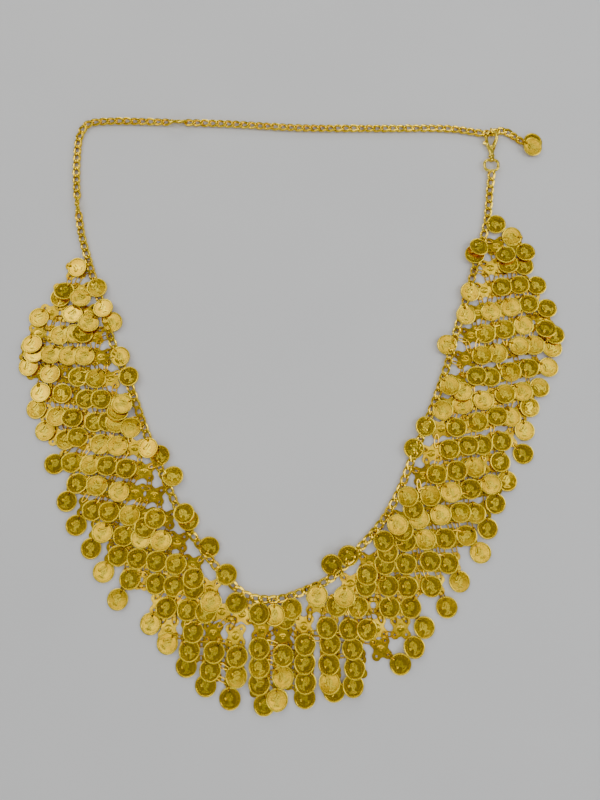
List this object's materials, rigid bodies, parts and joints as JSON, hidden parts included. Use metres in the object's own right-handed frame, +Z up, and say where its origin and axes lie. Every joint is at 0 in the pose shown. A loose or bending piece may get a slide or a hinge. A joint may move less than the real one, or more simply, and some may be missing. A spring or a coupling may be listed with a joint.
{
  "type": "coin belt",
  "caption": "Dance costume belt laid flat in a loop: curb chain with a swivel clasp, and a net of four-lobed plates hung with coins.",
  "frame": {"origin": "middle of the belt's box, on the surface that it lies on", "axes": "+Z up, +Y towards the top run of the chain with the clasp, +X towards the clasp's side"},
  "size_m": [0.4062, 0.4438, 0.0071],
  "materials": {
    "net_gold": "stamped and gold plated, bright",
    "chain_gold": "gold plated wire",
    "clasp_gold": "polished gold plate"
  },
  "bodies": {
    "root": {"left_00": "net_gold", "left_01": "net_gold", "left_02": "net_gold", "left_03": "net_gold", "left_04": "net_gold", "left_05": "net_gold", "left_06": "net_gold", "left_07": "net_gold", "left_08": "net_gold", "left_09": "net_gold", "left_10": "net_gold", "left_11": "net_gold", "left_12": "net_gold", "left_13": "net_gold", "left_14": "net_gold", "left_15": "net_gold", "right_00": "net_gold", "right_01": "net_gold", "right_02": "net_gold", "right_03": "net_gold", "right_04": "net_gold", "right_05": "net_gold", "right_06": "net_gold", "right_07": "net_gold", "right_08": "net_gold", "right_09": "net_gold", "right_10": "net_gold", "right_11": "net_gold", "right_12": "net_gold", "right_13": "net_gold", "right_14": "net_gold", "right_15": "net_gold", "right_16": "net_gold", "drop_00": "net_gold", "drop_01": "net_gold", "drop_02": "net_gold", "drop_03": "net_gold", "drop_04": "net_gold", "drop_05": "net_gold", "drop_06": "net_gold", "drop_07": "net_gold", "drop_08": "net_gold", "drop_09": "net_gold", "drop_10": "net_gold", "chain_00": "chain_gold", "chain_01": "chain_gold", "chain_02": "chain_gold", "chain_03": "chain_gold", "chain_04": "chain_gold", "chain_05": "chain_gold", "chain_06": "chain_gold", "chain_07": "chain_gold", "chain_08": "chain_gold", "chain_09": "chain_gold", "chain_10": "chain_gold", "tail_chain": "chain_gold", "clasp_hook": "clasp_gold", "clasp_lever": "clasp_gold", "swivel_ring": "clasp_gold"}
  },
  "joints": []
}
